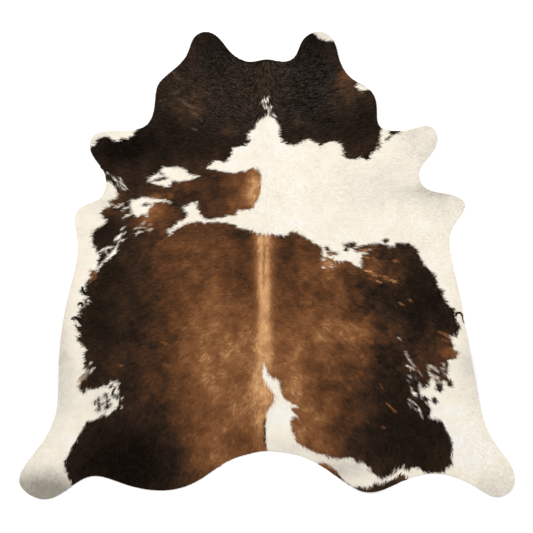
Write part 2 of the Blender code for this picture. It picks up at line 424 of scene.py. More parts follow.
RUMP_EDGE = (
    (22.2, -87.2), (23.2, -86.5), (25.1, -86.6), (27.2, -87.6), (29.8, -89.3), (31.2, -91.3),
    (34.6, -95.2), (37.0, -96.8), (45.7, -97.1), (46.6, -95.1), (50.8, -95.6), (52.1, -94.2),
    (54.2, -95.1), (57.0, -92.2), (60.2, -91.7), (62.4, -93.4), (60.0, -99.0), (46.0, -104.0),
    (28.0, -98.0),
)
SHOULDER_WEDGE = ((52.8, 60.5), (53.5, 57.4), (53.3, 56.8), (54.4, 56.8), (56.4, 57.7), (57.8, 58.0),
                  (59.4, 59.4), (59.0, 60.5))
BAY_ISLAND = ((33.3, 9.3), (35.0, 10.2), (37.4, 10.5), (39.0, 9.8), (39.1, 8.1), (37.0, 7.3),
              (34.2, 8.0))
ELBOW_WEDGE = ((-54.9, 27.2), (-50.4, 27.5), (-50.4, 26.8), (-53.4, 25.9))

WHITE_ON_SHOULDER = (
    (-52.0, 37.9), (-50.2, 39.4), (-46.6, 41.4), (-45.5, 43.2), (-43.0, 43.0), (-38.4, 43.4),
    (-35.0, 42.0), (-35.2, 40.8), (-29.6, 39.3), (-33.4, 37.6), (-40.8, 36.8), (-43.2, 34.2),
    (-44.6, 35.1), (-49.2, 35.8),
)
WHITE_ON_ELBOW = (
    (-59.9, 26.8), (-59.6, 28.0), (-54.6, 30.2), (-52.7, 29.5), (-50.3, 29.6), (-48.0, 29.1),
    (-46.0, 28.9), (-44.0, 28.8), (-43.0, 28.4), (-41.9, 27.4), (-44.2, 28.0), (-45.6, 28.4),
    (-47.6, 28.0), (-50.0, 27.4), (-50.0, 26.6), (-52.2, 24.8), (-51.8, 21.4), (-54.6, 22.7),
    (-56.4, 21.4), (-58.8, 22.9),
)
WHITE_CHEEK_TIP = ((19.5, 104.0), (20.6, 101.6), (22.0, 100.3), (24.4, 99.0), (27.0, 98.3),
                   (31.5, 98.4), (31.0, 104.0))
WHITE_NECK_SIDE = ((38.8, 80.4), (42.5, 79.4), (45.8, 77.2), (44.0, 77.1), (40.4, 77.0),
                   (38.9, 78.6))

DARK_PATCHES = (MANTLE, SADDLE)
WHITE_PATCHES = (WHITE_ON_SHOULDER, WHITE_ON_ELBOW, WHITE_CHEEK_TIP, WHITE_NECK_SIDE)
DARK_ISLANDS = (RUMP_EDGE, SHOULDER_WEDGE, BAY_ISLAND, ELBOW_WEDGE)

# Tufts of white hair that stand alone in the dark, each from one end to the other.
#     x0     y0      x1     y1    half_width
WHITE_TUFTS = (
    # at the arrow's tip
    (0.7, 66.2, 0.8, 69.4, 0.50),
    (0.9, 69.5, -1.2, 70.0, 0.52),
    (-1.3, 70.0, -1.2, 71.0, 0.62),
    (-0.4, 71.6, -1.0, 73.0, 0.70),
    (-2.2, 72.2, -1.0, 73.2, 0.58),
    (-0.2, 72.9, 0.8, 74.3, 0.46),
    (1.2, 69.7, 1.9, 70.5, 0.46),
    (2.3, 66.7, 3.8, 65.9, 0.42),
    # in the left armpit
    (-70.0, 40.6, -69.4, 39.3, 0.40),
    (-67.5, 38.6, -65.2, 36.4, 0.33),
    (-65.1, 39.2, -63.1, 36.1, 0.38),
    (-64.5, 36.7, -61.8, 33.8, 0.38),
    (-66.0, 35.3, -62.6, 33.2, 0.42),
    # on the left elbow
    (-67.6, 26.7, -65.9, 25.8, 0.42),
    (-65.9, 25.8, -62.5, 27.4, 0.38),
    (-63.5, 23.8, -62.8, 24.8, 0.46),
    (-62.8, 24.8, -59.2, 26.4, 0.50),
    (-63.0, 21.2, -58.3, 23.2, 0.52),
    (-41.9, 14.6, -42.4, 12.8, 0.40),
    # the broken line from the elbow down to the left flank
    (-64.8, 15.3, -62.2, 17.0, 0.40),
    (-63.8, 13.6, -62.0, 15.0, 0.42),
    (-66.0, 11.8, -63.9, 13.8, 1.00),
    (-64.4, 11.1, -62.0, 11.7, 0.60),
    (-66.3, 7.4, -65.1, 11.0, 0.65),
    (-68.2, 5.0, -65.9, 7.0, 1.05),
    (-70.6, 2.4, -68.2, 4.8, 0.90),
    (-73.6, -0.6, -70.6, 2.4, 0.66),
    (-74.6, -2.8, -73.6, -0.6, 0.48),
    (-74.6, 5.4, -71.2, 7.7, 0.45),
    (-71.2, 7.7, -67.4, 8.4, 0.48),
    (-71.0, 7.4, -69.8, 4.4, 0.42),
    # along the left flank
    (-78.8, -14.8, -77.4, -15.9, 0.40),
    (-78.8, -16.6, -78.2, -17.4, 0.42),
    (-80.6, -17.3, -80.2, -18.2, 0.38),
    (-83.4, -25.8, -81.9, -26.8, 0.45),
    (-77.8, -43.6, -76.7, -42.0, 0.36),
    (-77.6, -46.6, -75.4, -44.4, 0.48),
    (-64.0, -58.0, -63.7, -58.8, 0.40),
    (-64.5, -61.7, -64.0, -62.6, 0.32),
    # on the right flank
    (57.4, -31.6, 58.3, -32.3, 0.34),
    (61.2, -44.2, 64.4, -45.4, 0.46),
    (63.4, -44.2, 65.0, -45.9, 0.34),
    (71.4, -47.7, 73.2, -48.2, 0.70),
    (64.1, -55.6, 65.2, -56.8, 0.70),
    (62.3, -59.1, 64.2, -60.0, 0.32),
    (64.2, -60.0, 66.0, -61.7, 0.30),
    (62.2, -60.5, 65.2, -63.0, 0.34),
    (66.9, -62.8, 67.3, -64.3, 0.60),
    (67.5, -65.2, 68.2, -66.4, 0.38),
    (69.4, -58.6, 70.1, -61.0, 0.26),
    # in the right bay
    (24.6, 3.6, 24.8, 2.2, 0.42),
    (24.0, -0.2, 24.6, -1.2, 0.45),
    (27.4, 1.4, 28.6, 0.9, 0.34),
    (28.0, -0.4, 28.8, -0.9, 0.30),
    # beside the tail and on the rump
    (10.4, -61.5, 13.0, -62.2, 0.50),
    (10.5, -63.8, 12.8, -66.2, 0.45),
    (55.8, -91.2, 56.4, -88.8, 0.30),
    (57.4, -91.2, 57.8, -88.9, 0.30),
    (59.0, -90.6, 60.3, -88.4, 0.30),
)

# Tufts of dark hair that stand alone in the white.
#     x0     y0      x1     y1    half_width
DARK_TUFTS = (
    # on both shoulders
    (-44.0, 38.6, -49.6, 37.3, 0.50),
    (-45.1, 40.2, -47.3, 40.5, 0.36),
    (49.1, 53.2, 48.4, 51.1, 0.50),
    (53.7, 56.6, 51.9, 54.5, 0.42),
    # the curled tufts of the left flank
    (-69.6, 6.9, -68.6, 6.2, 0.36),
    (-81.6, -11.2, -80.2, -12.8, 0.58),
    (-79.9, -16.6, -79.4, -17.4, 0.45),
    (-83.4, -23.2, -81.8, -24.4, 0.90),
    (-83.9, -25.2, -84.0, -26.4, 0.34),
    (-84.0, -26.4, -82.4, -28.4, 0.36),
    # across the left groin
    (-78.9, -44.6, -78.8, -47.6, 0.80),
    (-82.2, -50.2, -79.2, -47.9, 0.95),
    # the spots of the left bay
    (-68.9, -53.3, -67.6, -52.5, 0.66),
    (-67.3, -52.8, -66.9, -54.4, 0.62),
    (-67.0, -54.4, -68.0, -55.8, 0.52),
    (-67.9, -56.4, -66.5, -57.0, 0.80),
    (-66.5, -57.0, -65.7, -57.9, 0.85),
    (-70.9, -56.4, -70.3, -57.4, 1.00),
    (-74.2, -58.3, -73.8, -59.6, 0.70),
    (-75.8, -60.4, -75.4, -60.2, 0.62),
    (-73.9, -60.6, -73.5, -61.8, 0.62),
    (-72.3, -60.6, -71.9, -60.5, 0.72),
    (-74.4, -63.1, -73.6, -63.1, 1.00),
    (-70.6, -59.9, -69.4, -58.8, 0.55),
    (-70.9, -62.6, -68.7, -61.0, 0.80),
    # in the right bay
    (25.8, 7.9, 26.6, 6.9, 1.00),
    (26.6, 5.5, 30.0, 5.2, 0.80),
    (34.0, 7.2, 35.0, 6.6, 0.80),
    (38.4, 7.1, 40.0, 6.4, 0.80),
    (42.6, 8.5, 44.0, 8.1, 0.90),
    (41.0, 6.8, 44.2, 6.5, 0.55),
    (41.8, 4.5, 44.6, 4.6, 0.65),
    (51.2, 11.0, 52.2, 10.8, 1.15),
    # the spots of the right flank
    (72.0, -45.6, 72.3, -46.4, 0.50),
    (73.0, -58.8, 74.0, -59.8, 1.35),
)

# Tufts of fairer hair in the brown, where the coat is brindled.
#     x0     y0      x1     y1    half_width  tone
TAN_TUFTS = (
    # on the elbow and the left flank
    (-52.0, 24.6, -49.0, 25.0, 0.50, 0.72),
    (-51.6, 22.6, -48.4, 23.4, 0.45, 0.66),
    (-43.2, 12.5, -46.7, 10.5, 0.32, 0.66),
    (-77.4, -2.2, -75.9, -6.4, 0.45, 0.68),
    (-75.9, -1.8, -74.8, -5.6, 0.40, 0.62),
    (-77.3, -4.6, -77.0, -7.6, 0.26, 0.98),
    (-74.8, -7.2, -74.2, -8.2, 0.42, 0.50),
    (-33.6, -17.8, -31.8, -18.2, 0.35, 0.82),
    (-45.4, -33.6, -43.8, -34.6, 0.40, 0.70),
    (-45.0, -43.4, -42.6, -44.0, 0.35, 0.72),
    (-65.2, -43.4, -63.4, -43.9, 0.50, 0.52),
    (-83.2, -52.6, -81.8, -50.2, 0.80, 0.95),
    (-82.0, -50.6, -79.6, -48.6, 0.90, 0.68),
    (-48.5, 9.5, -46.4, 10.4, 0.42, 0.68),
    (-46.1, 14.0, -44.6, 15.2, 0.62, 0.66),
    (-52.8, 20.2, -50.4, 20.6, 0.34, 0.76),
    # behind the right shoulder
    (41.0, 6.8, 44.0, 6.6, 0.55, 0.84),
    (43.2, 4.2, 44.6, 2.2, 0.50, 0.74),
    (46.3, 3.4, 47.8, 2.2, 0.42, 0.70),
    (45.8, 7.8, 49.4, 7.2, 0.42, 0.64),
    (55.2, 2.3, 58.0, 1.9, 0.42, 0.78),
    (43.2, -2.2, 47.2, -3.3, 0.50, 0.82),
    (44.6, -3.5, 48.6, -4.8, 0.42, 0.84),
    (44.2, -5.4, 46.6, -6.4, 0.34, 0.72),
    (47.6, -6.6, 49.8, -7.8, 0.48, 0.90),
    (49.0, -4.2, 53.4, -5.4, 0.42, 0.82),
    (50.6, -5.8, 53.6, -6.7, 0.30, 0.72),
    (53.4, -6.2, 58.0, -7.8, 0.44, 0.88),
    # on the right flank and rump
    (58.0, -16.4, 59.4, -17.2, 0.48, 0.86),
    (62.2, -14.8, 63.4, -15.6, 0.42, 0.86),
    (65.4, -44.0, 66.5, -46.4, 0.50, 0.42),
    (75.6, -29.3, 80.0, -31.0, 0.75, 0.62),
    (79.4, -31.6, 81.6, -32.8, 0.42, 0.64),
    (76.8, -32.4, 81.0, -33.6, 0.40, 0.60),
    (80.6, -36.2, 83.6, -37.2, 0.55, 0.62),
    (49.2, -51.0, 50.6, -54.0, 0.38, 0.62),
    (52.4, -60.4, 56.6, -64.4, 0.48, 0.72),
    (50.2, -70.4, 51.6, -71.2, 0.55, 0.66),
    (44.0, -68.6, 44.8, -69.2, 0.42, 0.60),
)

# Tufts where white hairs stand among the others: the share of white, and the others' tone.
#     x0     y0      x1     y1    half_width  white  tone
GRIZZLED_TUFTS = (
    # on the neck, fanning out to its left edge
    (-47.6, 72.2, -39.4, 74.3, 0.28, 0.028, 0.34),
    (-46.0, 70.6, -40.0, 71.6, 0.24, 0.020, 0.31),
    (-41.4, 75.4, -37.6, 76.6, 0.26, 0.024, 0.30),
    (-39.4, 73.2, -34.4, 71.0, 0.36, 0.030, 0.34),
    (-36.4, 71.4, -30.8, 68.8, 0.60, 0.032, 0.34),
    (-34.4, 68.6, -30.2, 65.8, 0.34, 0.022, 0.32),
    (-41.4, 85.4, -39.7, 83.7, 0.30, 0.060, 0.44),
    (-40.0, 82.4, -36.6, 81.8, 0.40, 0.022, 0.30),
    (-30.4, 65.2, -28.4, 63.8, 0.30, 0.050, 0.36),
    (-32.4, 60.2, -30.4, 59.6, 0.32, 0.030, 0.34),
    # on the left elbow and in the left groin
    (-54.9, 18.0, -53.2, 19.4, 0.70, 0.26, 0.88),
    (-52.4, 17.2, -50.3, 18.3, 0.30, 0.10, 0.84),
    (-57.8, 16.5, -53.4, 16.7, 0.34, 0.34, 0.85),
    (-57.6, 14.0, -54.5, 15.0, 0.36, 0.60, 0.90),
    (-53.0, 15.5, -50.2, 16.1, 0.46, 0.38, 0.90),
    (-78.9, -44.9, -78.8, -47.6, 0.85, 0.22, 0.55),
    (-82.6, -50.6, -79.8, -48.2, 1.00, 0.22, 0.62),
    (-83.2, -52.4, -82.2, -50.6, 0.70, 0.45, 0.90),
    # in the right bay
    (40.8, 5.4, 44.3, 5.3, 0.32, 0.55, 0.60),
    (44.7, 6.8, 45.8, 7.3, 0.42, 0.50, 0.60),
    # on the right flank
    (60.3, -37.8, 61.6, -40.4, 0.42, 0.40, 0.60),
    (61.6, -40.4, 64.4, -44.2, 0.34, 0.55, 0.60),
    (66.5, -46.2, 68.0, -48.6, 0.36, 0.20, 0.55),
    (62.0, -48.3, 62.9, -49.2, 0.55, 0.42, 0.40),
    (61.4, -50.0, 62.4, -50.9, 0.40, 0.16, 0.25),
    (64.8, -48.6, 65.6, -49.6, 0.50, 0.12, 0.25),
    (70.6, -43.9, 73.0, -44.6, 0.75, 0.50, 0.40),
    (70.8, -44.8, 71.1, -46.6, 0.55, 0.45, 0.40),
    (73.0, -45.0, 75.2, -46.4, 0.60, 0.42, 0.40),
    (76.8, -42.6, 78.2, -44.4, 0.45, 0.40, 0.40),
    (76.4, -45.0, 78.2, -45.6, 0.38, 0.34, 0.40),
    (77.0, -46.0, 78.6, -48.6, 0.55, 0.16, 0.25),
    (72.2, -48.8, 73.2, -50.6, 0.70, 0.55, 0.40),
    (74.3, -48.6, 75.5, -50.4, 0.60, 0.55, 0.40),
    (74.2, -51.2, 77.6, -51.4, 0.45, 0.45, 0.40),
    (66.8, -51.6, 67.3, -55.2, 0.75, 0.60, 0.30),
    (67.4, -55.2, 67.7, -58.2, 0.50, 0.40, 0.30),
    (63.3, -53.4, 63.8, -55.4, 0.38, 0.50, 0.30),
)
TUFT_TAPER = 0.4               # how much a tuft narrows to its ends
TUFT_RAGGED = 0.24             # centimetres that a tuft's edge is ragged by
TUFT_NICK = 0.55               # the size of that raggedness, in centimetres
TUFT_SEED = 13
TUFT_SOFTNESS = 0.4            # centimetres over which a tan or grizzled tuft fades
WHITE_SPREAD = 0.12            # a white tuft is narrowed by so much, as its locks lie over the dark
DARK_LOSS = 0.20               # and a dark one widened by so much, as white locks lie over it


def tuft_depth(x, y, row):
    """How far each place lies inside one tuft, which narrows to its ends."""
    x0, y0, x1, y1, half_width = row
    ex, ey = x1 - x0, y1 - y0
    t = np.clip(((x - x0) * ex + (y - y0) * ey) / (ex * ex + ey * ey), 0.0, 1.0)
    reach = half_width * (1.0 - TUFT_TAPER * np.abs(2.0 * t - 1.0))
    reach = reach + TUFT_RAGGED * ruffle(x, y, TUFT_NICK, TUFT_SEED)
    return reach - np.hypot(x - x0 - t * ex, y - y0 - t * ey)


def tuft_share(x, y, row):
    """1 inside a tuft, fading to 0 over its soft edge."""
    return np.clip(tuft_depth(x, y, row) / TUFT_SOFTNESS + 0.5, 0.0, 1.0)


def flat_oval(x, y, at_x, at_y, half_x, half_y):
    """1 in the middle of an oval, falling through a half at its rim."""
    return 1.0 / (1.0 + (((x - at_x) / half_x) ** 2 + ((y - at_y) / half_y) ** 2) ** 2)


# How far the edges of the patches wander, in centimetres: a little everywhere, and so much more
# where the two hairs mingle that the edge breaks up into spots.
EDGE_WANDER = 0.38
EDGE_RUFFLES = ((1.1, 0.8), (0.6, 0.6))         # sizes in centimetres, each with its share
EDGE_SEED = 11
FAR_OUTSIDE = -100.0           # deeper in the white than any place is
#    place                x      y    half_x  half_y  wander
BROKEN_EDGES = (
    ("right flank",      69.0, -50.0,    9.0,   11.0,   0.40),
    ("right bay",        29.0,   5.0,    7.0,    5.0,   0.35),
    ("left bay",        -71.0, -59.0,    6.0,    6.0,   0.40),
    ("left elbow",      -62.0,  19.0,   11.0,   11.0,   0.12),
    ("left armpit",     -66.0,  36.0,    5.0,    5.0,   0.35),
    ("left groin",      -79.0, -46.0,    5.0,    6.0,   0.60),
    ("left flank",      -82.0, -20.0,    4.0,   14.0,   0.20),
    ("right rump",       57.0, -91.0,    6.0,    3.0,   0.40),
)


def hair_depth(x, y):
    """How deep a place, in centimetres, lies in dark hair; negative in the white."""
    depth = np.full(x.shape, FAR_OUTSIDE)
    for patch in DARK_PATCHES:
        depth = np.maximum(depth, inside_by(x, y, np.array(patch)))
    for patch in WHITE_PATCHES:
        depth = np.minimum(depth, -inside_by(x, y, np.array(patch)))
    for patch in DARK_ISLANDS:
        depth = np.maximum(depth, inside_by(x, y, np.array(patch)))
    wander = np.full(x.shape, EDGE_WANDER)
    for _, at_x, at_y, half_x, half_y, gain in BROKEN_EDGES:
        wander += gain * flat_oval(x, y, at_x, at_y, half_x, half_y) ** 2
    for seed, (size, share) in enumerate(EDGE_RUFFLES, start=EDGE_SEED):
        depth += wander * share * ruffle(x, y, size, seed)
    for row in WHITE_TUFTS:
        depth = np.minimum(depth, WHITE_SPREAD - tuft_depth(x, y, row))
    for row in DARK_TUFTS:
        depth = np.maximum(depth, DARK_LOSS + tuft_depth(x, y, row))
    return depth


def white_share(x, y):
    """How much of the hair is white in the grizzled tufts."""
    share = np.zeros(x.shape)
    for *row, white, _ in GRIZZLED_TUFTS:
        share = np.maximum(share, white * tuft_share(x, y, row))
    return share


# Where the brown is lighter or darker. tone runs from 0, black, over 0.5, chestnut, to 1, tan.
# Each row is an oval with its half sizes and what it adds in its middle.
#    place                      x      y    half_x  half_y   tone
GROUND_TONE = 0.24
TONE_OVALS = (
    ("neck",                   0.0,  80.0,   45.0,   30.0,  -0.11),
    ("neck, midline",         -1.0,  80.0,    2.2,   13.0,   0.03),
    ("left cheek",           -21.0,  92.0,    8.0,   12.0,  -0.09),
    ("right cheek",           18.0,  84.0,    9.0,   22.0,  -0.11),
    ("right bay",             27.0,   0.5,    4.0,    2.2,   0.22),
    ("right neck",            35.0,  77.5,    8.0,    6.0,   0.12),
    ("right neck edge",       36.0,  84.0,    4.0,    3.0,   0.30),
    ("left neck",            -33.0,  71.0,    7.0,    8.0,   0.11),
    ("left of the arrow",    -17.0,  61.0,    4.5,    5.0,   0.09),
    ("right of the arrow",    14.0,  64.0,    3.0,    3.0,   0.10),
    ("right shoulder",        38.0,  62.0,   12.0,    8.0,  -0.10),
    ("left foreleg",         -52.0,  55.0,   35.0,   10.0,  -0.13),
    ("left foreleg, end",    -64.0,  51.0,   11.0,    6.0,  -0.09),
    ("band, darker",         -24.0,  30.0,    8.0,    9.0,  -0.05),
    ("band, outer",          -38.0,  30.0,    4.0,    4.5,  -0.08),
    ("band, upper",          -36.0,  34.5,    5.0,    3.0,   0.10),
    ("band, inner end",      -12.0,  34.0,    7.0,   12.0,   0.17),
    ("band, caramel end",     -4.6,  34.0,    4.4,   14.0,   0.49),
    ("elbow",                -50.0,  24.0,    5.0,    3.4,   0.40),
    ("elbow, lower",         -54.0,  19.0,    4.0,    3.0,   0.35),
    ("behind the elbow",     -46.5,  10.0,    8.0,    5.5,   0.12),
    ("above the elbow",      -48.5,  30.5,    2.4,    1.4,   0.35),
    ("above, inner",         -42.0,  30.6,    1.4,    1.4,   0.28),
    ("arm fold",             -71.0,  14.0,    9.0,    8.0,  -0.10),
    ("elbow, outer edge",    -70.0,  25.0,    3.0,    2.4,   0.15),
    ("elbow, above",         -66.5,  28.4,    2.4,    1.8,   0.14),
    ("left withers",         -15.0,  16.0,   12.0,    5.0,  -0.07),
    ("left of the spine",     -9.0,  -2.0,    4.0,   18.0,  -0.09),
    ("left back",            -23.0, -22.0,   24.0,   46.0,   0.30),
    ("left back, glow",      -24.0, -22.0,    7.0,    9.0,   0.07),
    ("left loin",            -21.0, -44.0,   17.0,   20.0,   0.18),
    ("left loin, glow",      -27.0, -45.0,    7.0,    7.0,   0.10),
    ("left croup",           -16.0, -76.0,   17.0,   16.0,   0.28),
    ("left croup, darker",   -22.0, -65.0,    5.0,    4.0,  -0.16),
    ("croup, by the tail",   -12.0, -75.0,    4.5,    4.0,  -0.12),
    ("left croup, hind",     -20.0, -88.0,   11.0,    8.0,   0.14),
    ("left side",            -56.0, -18.0,    6.0,   36.0,  -0.04),
    ("left ribs, front",     -36.0,   2.0,   10.0,   12.0,   0.07),
    ("left flank, front",    -68.0,  -4.0,    6.0,    5.0,  -0.10),
    ("left flank",           -72.0, -26.0,    8.0,   14.0,  -0.11),
    ("left rump",            -62.0, -86.0,   24.0,   17.0,  -0.20),
    ("right of the spine",     9.0,  -6.0,    5.0,   18.0,  -0.17),
    ("right back",            21.0, -24.0,   23.0,   42.0,   0.29),
    ("right back, glow",      31.0, -29.5,   16.0,    7.0,   0.20),
    ("right loin",            10.5, -50.0,    6.0,   13.0,   0.18),
    ("right croup",           15.0, -71.0,   14.0,   14.0,   0.28),
    ("right loin, spot",      25.5, -53.0,    5.0,    2.6,  -0.14),
    ("right shoulder blade",  46.0,   4.0,    6.0,    5.0,   0.09),
    ("right flank, front",    67.0,  -8.0,    8.0,   14.0,  -0.11),
    ("right flank, edge",     77.0, -19.0,    6.0,    9.0,  -0.11),
    ("right flank",           71.0, -34.5,    9.0,    4.0,   0.10),
    ("right flank, lobe",     80.6, -38.3,    3.4,    2.6,   0.42),
    ("right ribs, front",     50.0,  -4.5,    8.0,    2.5,   0.14),
    ("right ribs",            50.0, -19.0,    9.0,   11.0,  -0.12),
    ("right side",            52.0, -48.0,   10.0,   14.0,  -0.06),
    ("right rump",            62.0, -75.0,   19.0,   14.0,  -0.14),
    ("right croup, hind",     28.0, -81.0,    4.0,    3.0,   0.10),
    ("rump edge, inner",      26.0, -88.5,    4.0,    3.0,   0.32),
    ("rump edge, outer",      60.0, -92.8,    3.0,    2.0,   0.16),
)

# The pale stripe along the spine, from the withers to the tail.
#     y      middle  half_width  tone
SPINE_STRIPE = (
    (15.0,    -1.3,     3.6,     0.95),
    (0.0,     -1.4,     3.3,     0.97),
    (-15.0,   -1.2,     2.9,     0.95),
    (-27.0,   -1.2,     3.2,     0.95),
    (-40.0,   -1.0,     4.7,     0.95),
    (-52.0,   -3.0,     5.2,     0.94),
    (-62.0,   -2.5,     4.7,     0.91),
    (-75.0,   -1.5,     3.6,     0.82),
    (-83.0,   -1.5,     3.2,     0.80),
)
STRIPE_TOP = 15.0              # where the stripe starts
STRIPE_TOP_FADE = 2.0          # centimetres in which it comes to its full strength

# Thin darker lines that the parted hair leaves on the stripe.
#     x     half_width  tone    top     end
SPINE_LINES = (
    (-1.3,     0.60,   -0.12,   14.0,  -11.0),
    (-0.9,     0.50,   -0.60,  -66.0,  -80.0),
)
LINE_FADE = 3.0                # centimetres in which a line fades in and out


def brown_tone(x, y):
    """How pale the dark hair is at a place in centimetres, before the brindling."""
    tone = np.full(x.shape, GROUND_TONE)
    for _, at_x, at_y, half_x, half_y, gain in TONE_OVALS:
        tone += gain * flat_oval(x, y, at_x, at_y, half_x, half_y)
    rows = np.array(SPINE_STRIPE)[::-1]
    middle, half, pale = (np.interp(y, rows[:, 0], rows[:, i]) for i in (1, 2, 3))
    stripe = np.clip((STRIPE_TOP - y) / STRIPE_TOP_FADE, 0.0, 1.0)
    tone += (pale - tone) * stripe / (1.0 + np.abs((x - middle) / half) ** 4)
    for line_x, line_half, gain, top, end in SPINE_LINES:
        reach = np.clip((top - y) / LINE_FADE, 0.0, 1.0) * np.clip((y - end) / LINE_FADE, 0.0, 1.0)
        tone += gain * reach * np.exp(-((x - line_x) / line_half) ** 2)
    tufts = TAN_TUFTS + tuple((*row, pale) for *row, _, pale in GRIZZLED_TUFTS)
    for *row, pale in tufts:
        tone += (pale - tone) * tuft_share(x, y, row)
    return tone


# Where the cream hair is greyer: ovals again, from 0, cream, to 1, mouse grey. At the belly's edges,
# the right armpit and elbow and the girdle smudge the grey is partly grey skin under thin hair and
# partly painted shade of low folds; at both hind feet, the right shoulder and the right foreleg it is
# painted shade of folds, dips and edges that fall away.
#    place                      x      y    half_x  half_y   grey
GROUND_GREY = 0.10
GREY_AND_SHADE_OVALS = (
    ("left hind foot",       -97.0, -101.0,  16.0,   11.0,   0.94),
    ("left hind leg",        -94.0, -78.0,   12.0,   12.0,  -0.09),
    ("left belly edge",      -90.0, -48.0,    6.0,   18.0,   0.30),
    ("left belly",           -90.0, -25.0,    4.0,   20.0,   0.14),
    ("right belly edge",      90.0, -46.0,    6.0,   16.0,   0.26),
    ("right armpit",          72.0,  33.0,    9.0,    3.4,   0.44),
    ("right elbow",           80.0,  26.0,   10.0,    8.0,   0.14),
    ("right shoulder",        48.0,  34.0,   18.0,   10.0,   0.18),
    ("right foreleg",         69.0,  54.0,   11.0,    9.0,   0.28),
    ("girdle smudge",          5.0,  30.5,    3.0,    1.6,   0.16),
    ("right hind foot",      102.0, -98.0,   10.0,    6.0,   0.26),
    ("left forefoot",        -75.0,  56.0,    6.0,    5.0,   0.20),
    ("tail wedge",             8.0, -80.0,   12.0,    5.0,   0.16),
    ("between the rumps",     32.0, -89.0,   12.0,    4.0,   0.46),
    ("cheek tip",             26.0, 101.0,    6.0,    4.0,   0.24),
    ("left bay",             -71.5, -60.0,    5.0,    5.0,   0.40),
    ("left armpit",          -72.0,  30.0,    8.0,    8.0,   0.16),
    ("right hind leg",        88.0, -74.0,   12.0,   16.0,  -0.12),
    ("tail wedge, front",      5.0, -66.0,    6.0,   12.0,  -0.06),
)
EDGE_SHADE = 0.14               # painted shade: how much greyer cream hair is made at the hide's edge, where it falls away
EDGE_SHADE_WIDTH = 2.5          # centimetres in which that falls to about a third


def cream_grey_and_shade(x, y):
    """How grey the cream hair is at a place in centimetres, with painted shade at the edge and in the
    folds.
    """
    gap = np.maximum(edge_gap.at(x * CM, y * CM) / CM, 0.0)
    grey = GROUND_GREY + EDGE_SHADE * np.exp(-gap / EDGE_SHADE_WIDTH)
    for _, at_x, at_y, half_x, half_y, gain in GREY_AND_SHADE_OVALS:
        grey += gain * flat_oval(x, y, at_x, at_y, half_x, half_y)
    return grey


# ------------------------------------------------------------------------------------------------
# The undercoat. Short dense hair between the locks, growing out of the grain of the skin. It is the
# hair side of the skin sheet, coloured by the same markings with painted shade of the locks over it,
# and roughened with a fine bump.

SOFT_EDGE = 0.5                # centimetres over which white and dark hair mingle
BROWN_GAIN = 1.10              # how much brighter than its own colour the lit hair looks
CREAM_GAIN = 1.17              # pale hair also lights its neighbours
GLOSS_LIFT = 0.0025            # what the gloss adds to every colour

# The hair's colours as the lit coat shows them.
BROWN_SCALE = (
    (0.0, (17, 12, 9)),
    (0.1, (29, 23, 18)),
    (0.2, (42, 32, 25)),
    (0.3, (58, 42, 31)),
    (0.4, (78, 51, 33)),
    (0.5, (95, 61, 38)),
    (0.6, (112, 72, 44)),
    (0.7, (127, 84, 52)),
    (0.8, (145, 99, 63)),
    (0.9, (180, 131, 87)),
    (1.0, (221, 171, 119)),
)
CREAM_SCALE = (
    (0.0, (250, 246, 239)),
    (0.1, (249, 240, 222)),
    (0.2, (244, 236, 220)),
    (0.45, (228, 220, 207)),
    (0.7, (206, 198, 184)),
    (1.0, (160, 153, 141)),
)


def hair_colours(scale, gain):
    """A scale's stops as the hair's own linear colours."""
    return [(place, tuple((value - GLOSS_LIFT) / gain for value in linear(*seen)[:3]) + (1.0,))
            for place, seen in scale]


def set_attribute(mesh, name, values):
    """Gives each point of a mesh a value under a name."""
    mesh.attributes.new(name, "FLOAT", "POINT").data.foreach_set("value", values.astype(np.float32))


def attribute_node(nodes, name):
    """The value that the mesh's points hold under a name."""
    node = nodes.new("ShaderNodeAttribute")
    node.attribute_name = name
    return node.outputs["Fac"]


def coat_colour(nodes, links, dark, tone, grey):
    """Mixes the brown and the cream scale by how dark the hair is."""
    brown = ramp(nodes, "brown hair", hair_colours(BROWN_SCALE, BROWN_GAIN))
    cream = ramp(nodes, "cream hair", hair_colours(CREAM_SCALE, CREAM_GAIN))
    links.new(tone, brown.inputs["Fac"])
    links.new(grey, cream.inputs["Fac"])
    mix = nodes.new("ShaderNodeMix")
    mix.data_type = "RGBA"
    links.new(dark, mix.inputs["Factor"])
    links.new(cream.outputs["Color"], mix.inputs["A"])
    links.new(brown.outputs["Color"], mix.inputs["B"])
    return mix.outputs["Result"]


UNDERCOAT_ROUGHNESS = 0.85
UNDERCOAT_GLOSS = 0.02
UNDERCOAT_EDGE = 0.25          # centimetres over which its white and dark mingle
# Painted shade of the locks: these two make the undercoat's brown darker and its cream greyer.
UNDERCOAT_SHADE_DARKER = 0.03        # painted shade: it lies in the shade of the locks
UNDERCOAT_SHADE_GREYER = 0.06
FUZZ_SCALE = 260.0
FUZZ_DETAIL = 3.0
FUZZ_DEPTH = 0.0008
FUZZ_STRENGTH = 0.5
FUZZ_WANDER = 1.2              # centimetres between the furthest that it moves an edge to either side
FUZZ_TONE = 0.12


